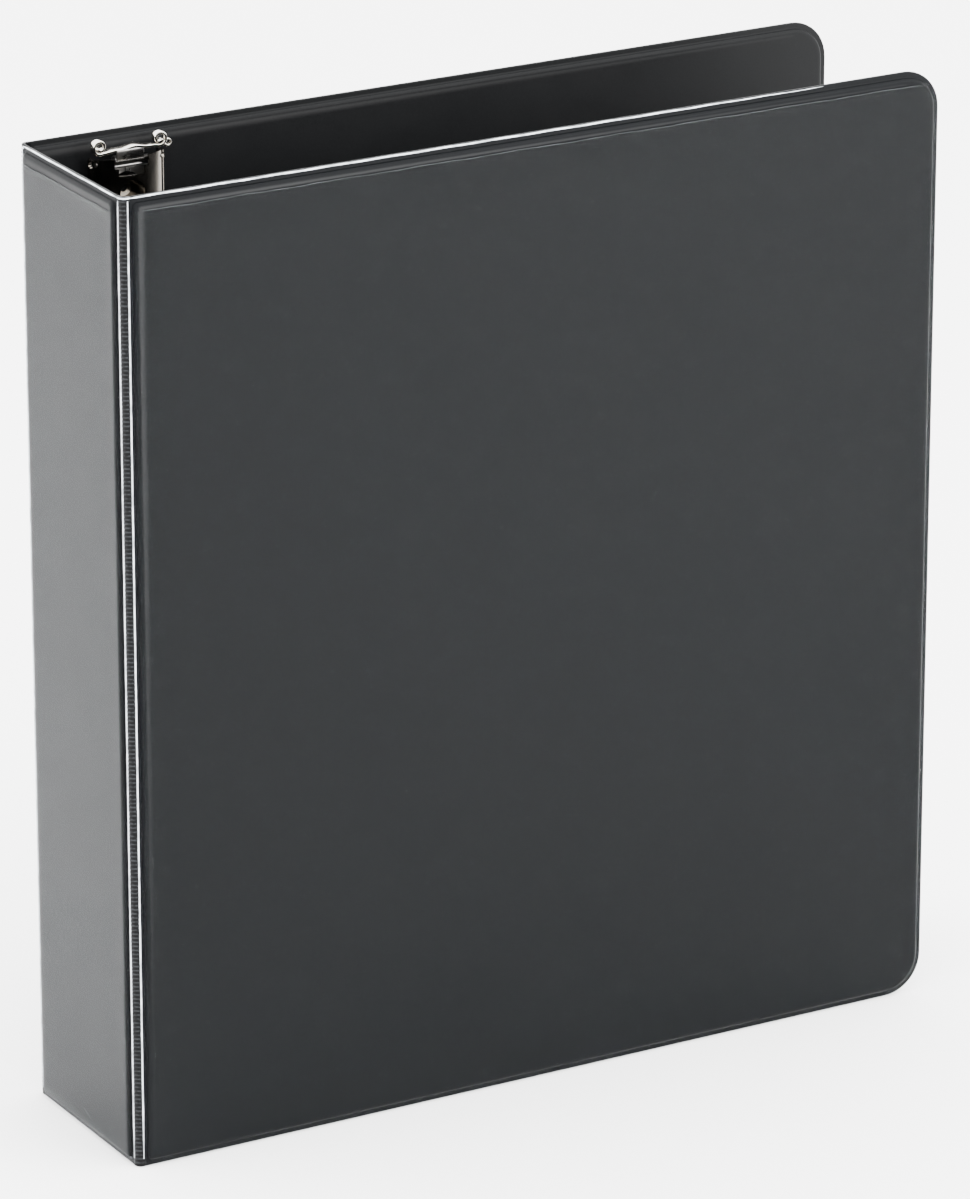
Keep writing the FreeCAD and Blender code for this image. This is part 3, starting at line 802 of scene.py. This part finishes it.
def softenEdges(piece, width, segments, angle):
    bevel = piece.modifiers.new("soft edges", "BEVEL")
    bevel.width = width * mm
    bevel.segments = segments
    bevel.limit_method = "ANGLE"
    bevel.angle_limit = math.radians(angle)


# bevel widths in mm, and the bevel's segments and least angle
finish = {"housing": 0.15, "rings": 0.2, "rivets": 0.2, "rails": 0.1, "pins": 0.1, "segments": 2, "angle": 35}


def keep(names, material, width=0.0):
    for name in names:
        piece = nodes[name]
        piece.data.materials.clear()
        piece.data.materials.append(material)
        for polygon in piece.data.polygons:
            polygon.use_smooth = True
        if width:
            softenEdges(piece, width, finish["segments"], finish["angle"])
        flat = piece.modifiers.new("even shading", "WEIGHTED_NORMAL")
        flat.keep_sharp = True


# levers: pressed steel strip with its ends rolled into scrolls, on a neck that wraps the pin
lever = {
    "axis": 8.0,            # pivot height in from each end of the binder
    "rise": 4.2,            # pivot height off the liner
    "sheet": 0.8,
    "thumbLow": 3.0,
    "thumbHigh": 6.15,
    "scrollAt": 9.6,
    "scrollRadius": 2.15,
    "scrollLow": 4.1,       # the rolled ends start higher off the liner than the strip between them
    "scrollReach": 5.45,
    "scrollTurn": 430,
    "scrollShrink": 0.62,
    "scrollSteps": 30,
    "scrollFade": (2.5, 1.6),           # from where, and over how far, the strip's low edge climbs
    "stripLift": 0.5,
    "stripEase": 2.5,
    "stripSteps": 24,
    "swell": ((0.34, 0.42, 0.9), (0.16, 0.95, 0.0)),    # height, rate and start of each wave of the strip
    "lipWave": (0.22, 0.5, 0.4),                        # and of its front edge
    "loopAt": (12.4, 3.7),
    "loopRadius": 1.0,
    "loopStart": 150,
    "loopTurn": -320,
    "loopShrink": 0.1,
    "loopSteps": 18,
    "loopInset": (0.5, 0.75),           # behind the strip's two edges
    "loopTail": ((-0.6, 0.1), (0.6, -0.1)),
    "loopSheet": 0.5,
    "neckSheet": 0.6,
    "neck": [(3.85, 5.9), (3.2, 6.0), (2.4, 5.95), (1.4, 5.8), (0.6, 5.55)],
    "neckHalf": 4.3,
    "barrel": (1.45, 1.3),
    "barrelTurn": (10, 300, 20),
    "barrelHalf": 4.4,
    "tongue": [(-1.2, 3.2), (-1.6, 2.2), (-2.6, 1.5), (-3.5, 1.3)],
    "tongueHalf": 2.4,
    "soften": 0.14,
    "softenSegments": 3,
    "softenAngle": 50,
}


def mechPoint(u, reach, v, up):
    # on the mechanism: u across, reach out from the lever axis to the binder's end, v off the liner
    z = binder["height"] - lever["axis"] + reach if up else lever["axis"] - reach
    return (mechX + u, linerY - v, z)


def ribbon(path, thickness, corners, points, faces):
    # closed ribbon of sheet metal along a flat path: corners gives four points from both of its faces
    first, count = len(points), len(path)
    for k, (p, q) in enumerate(path):
        before, after = path[max(k - 1, 0)], path[min(k + 1, count - 1)]
        dp, dq = after[0] - before[0], after[1] - before[1]
        length = math.hypot(dp, dq) or 1.0
        offP, offQ = -dq / length * thickness / 2, dp / length * thickness / 2
        points.extend(corners((p + offP, q + offQ), (p - offP, q - offQ), p))
    faces.extend(bands(count - 1, 4, first) + caps(count - 1, 4, first))


def curl(centre, radius, start, turn, shrink, steps):
    path = []
    for k in range(steps + 1):
        angle = math.radians(start + turn * k / steps)
        size = radius * (1 - shrink * k / steps)
        path.append((centre[0] + size * math.cos(angle), centre[1] + size * math.sin(angle)))
    return path


def finishLever(name, points, faces, material, body):
    piece = makePiece(name, points, faces, material)
    softenEdges(piece, lever["soften"], lever["softenSegments"], lever["softenAngle"])
    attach(piece, body)
    return piece


def sineWave(u, height, rate, start):
    return height * math.sin(u * rate + start)


def makeLever(place, up, body):
    at, size, reach = lever["scrollAt"], lever["scrollRadius"], lever["scrollReach"]
    turn, shrink, steps = lever["scrollTurn"], lever["scrollShrink"], lever["scrollSteps"]
    left = curl((-at, reach), size, -90, -turn, shrink, steps)
    right = curl((at, reach), size, -90, turn, shrink, steps)
    middle = []
    for k in range(1, lever["stripSteps"]):
        u = -at + 2 * at * k / lever["stripSteps"]
        swell = sum(sineWave(u, *part) for part in lever["swell"])
        ease = min(1.0, (at - abs(u)) / lever["stripEase"])
        middle.append((u, reach - size + (lever["stripLift"] + swell) * ease))

    def edgeCorners(near, far, low, high):
        return [mechPoint(*end, v, up) for end, v in ((near, low), (near, high), (far, high), (far, low))]

    def thumbCorners(near, far, u):
        start, over = lever["scrollFade"]
        share = min(max((abs(u) - at + start) / over, 0.0), 1.0)
        low = lever["thumbLow"] + (lever["scrollLow"] - lever["thumbLow"]) * share
        return edgeCorners(near, far, low, lever["thumbHigh"] + sineWave(u, *lever["lipWave"]))

    def loopCorners(near, far, u):
        back, front = lever["loopInset"]
        return edgeCorners(near, far, lever["thumbLow"] + back, lever["thumbHigh"] - front)

    points, faces = [], []
    ribbon(left[::-1] + middle + right, lever["sheet"], thumbCorners, points, faces)
    loop = curl(lever["loopAt"], lever["loopRadius"], lever["loopStart"], lever["loopTurn"],
                lever["loopShrink"], lever["loopSteps"])
    tail = [(at + u, reach - size + r) for u, r in lever["loopTail"]]
    ribbon(tail + loop, lever["loopSheet"], loopCorners, points, faces)
    piece = finishLever("lever" + place, points, faces, nickel, body)
    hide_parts("lever_" + place.lower())

    # in profile as (reach, v): neck from the thumb piece, barrel round the pin, tongue under the rails
    points, faces = [], []
    wide, tall = lever["barrel"]
    turns = [math.radians(t) for t in range(*lever["barrelTurn"])]
    barrel = [(wide * math.sin(t), lever["rise"] + tall * math.cos(t)) for t in turns]
    for profile, half in ((lever["neck"], lever["neckHalf"]), (barrel, lever["barrelHalf"]),
                          (lever["tongue"], lever["tongueHalf"])):
        def profileCorners(near, far, r):
            ends = ((near, -half), (near, half), (far, half), (far, -half))
            return [mechPoint(u, *end, up) for end, u in ends]
        ribbon(profile, lever["neckSheet"], profileCorners, points, faces)
    # the neck takes the darkened steel as painted shade
    finishLever("leverNeck" + place, points, faces, shadedSteel, body)


makeLever("Top", True, "top_lever")
makeLever("Bottom", False, "bottom_lever")

rings = ["ring_%s_%s" % (side, place) for side in ("left", "right") for place in ("bottom", "middle", "top")]
keep(["back_board", "front_board", "spine_board"], chipboard)
keep(["ring_housing"], housingNickelShaded, finish["housing"])
keep(rings, nickel, finish["rings"])
keep(["rivet_%d" % k for k in (1, 2, 3, 4)], nickel, finish["rivets"])
keep(["hinge_rail_left", "hinge_rail_right"], shadedSteel, finish["rails"])
keep(["lever_pin_top", "lever_pin_bottom"], pinSteelShaded, finish["pins"])
print("mechanism finished")

# floor, lights and camera
studio = {
    "floorSize": 40.0,
    "floorLevel": -0.0002,
    "floorColour": (0.92, 0.92, 0.92, 1.0),
    "floorRoughness": 0.85,
    "floorSpecular": 0.1,
    "worldStrength": 6.5,
    "lamps": {
        "leftSoftbox": {"size": 1.6, "energy": 60, "from": (-1.9, 0.6, 0.9), "to": (0, 0, 0.15)},
        "frontSoftbox": {"size": 1.0, "energy": 44, "from": (0.75, -1.15, 0.6), "to": (0.7, -1.1, 0)},
        "topSoftbox": {"size": 1.8, "energy": 40, "from": (0.3, -0.5, 1.9), "to": (0, 0, 0.1)},
    },
}
shot = {
    "lens": 220.6,
    "sensor": 36.0,
    "azimuth": -29.78,
    "elevation": 19.89,
    "place": (-1.0099, -1.7649, 0.8764),
    "farthest": 60.0,
}

floorMaterial, tree, out = newMaterial("paleFloor")
floorShader = node(tree, "BsdfPrincipled", {
    "Base Color": studio["floorColour"], "Roughness": studio["floorRoughness"],
    "Specular IOR Level": studio["floorSpecular"],
})
tree.links.new(floorShader.outputs[0], out.inputs["Surface"])
half = studio["floorSize"] / 2
floorMesh = bpy.data.meshes.new("floor")
floorCorners = [(-half, -half, 0), (half, -half, 0), (half, half, 0), (-half, half, 0)]
floorMesh.from_pydata(floorCorners, [], [(0, 1, 2, 3)])
floorMesh.materials.append(floorMaterial)
floor = bpy.data.objects.new("floor", floorMesh)
floor.location = (0, 0, studio["floorLevel"])
bpy.context.scene.collection.objects.link(floor)

world = bpy.data.worlds.new("studio")
bpy.context.scene.world = world
world.use_nodes = True
world.node_tree.nodes["Background"].inputs["Color"].default_value = (1.0, 1.0, 1.0, 1.0)
world.node_tree.nodes["Background"].inputs["Strength"].default_value = studio["worldStrength"]

for name, lamp in studio["lamps"].items():
    light = bpy.data.lights.new(name, "AREA")
    light.shape = "SQUARE"
    light.size = lamp["size"]
    light.energy = lamp["energy"]
    softbox = bpy.data.objects.new(name, light)
    softbox.location = lamp["from"]
    aim = Vector(lamp["to"]) - Vector(lamp["from"])
    softbox.rotation_euler = aim.to_track_quat("-Z", "Y").to_euler()
    bpy.context.scene.collection.objects.link(softbox)

camera = bpy.data.cameras.new("camera")
camera.sensor_width = shot["sensor"]
camera.lens = shot["lens"]
camera.clip_end = shot["farthest"]
eye = bpy.data.objects.new("camera", camera)
azimuth, elevation = math.radians(shot["azimuth"]), math.radians(shot["elevation"])
right = Vector((math.cos(azimuth), math.sin(azimuth), 0))
back = Vector((math.sin(azimuth) * math.cos(elevation), -math.cos(azimuth) * math.cos(elevation),
               math.sin(elevation)))
turned = Matrix((right, back.cross(right), back)).transposed().to_4x4()
eye.matrix_world = Matrix.Translation(shot["place"]) @ turned
bpy.context.scene.collection.objects.link(eye)
bpy.context.scene.camera = eye
print("stage, lights and camera made")

bpy.context.view_layer.update()
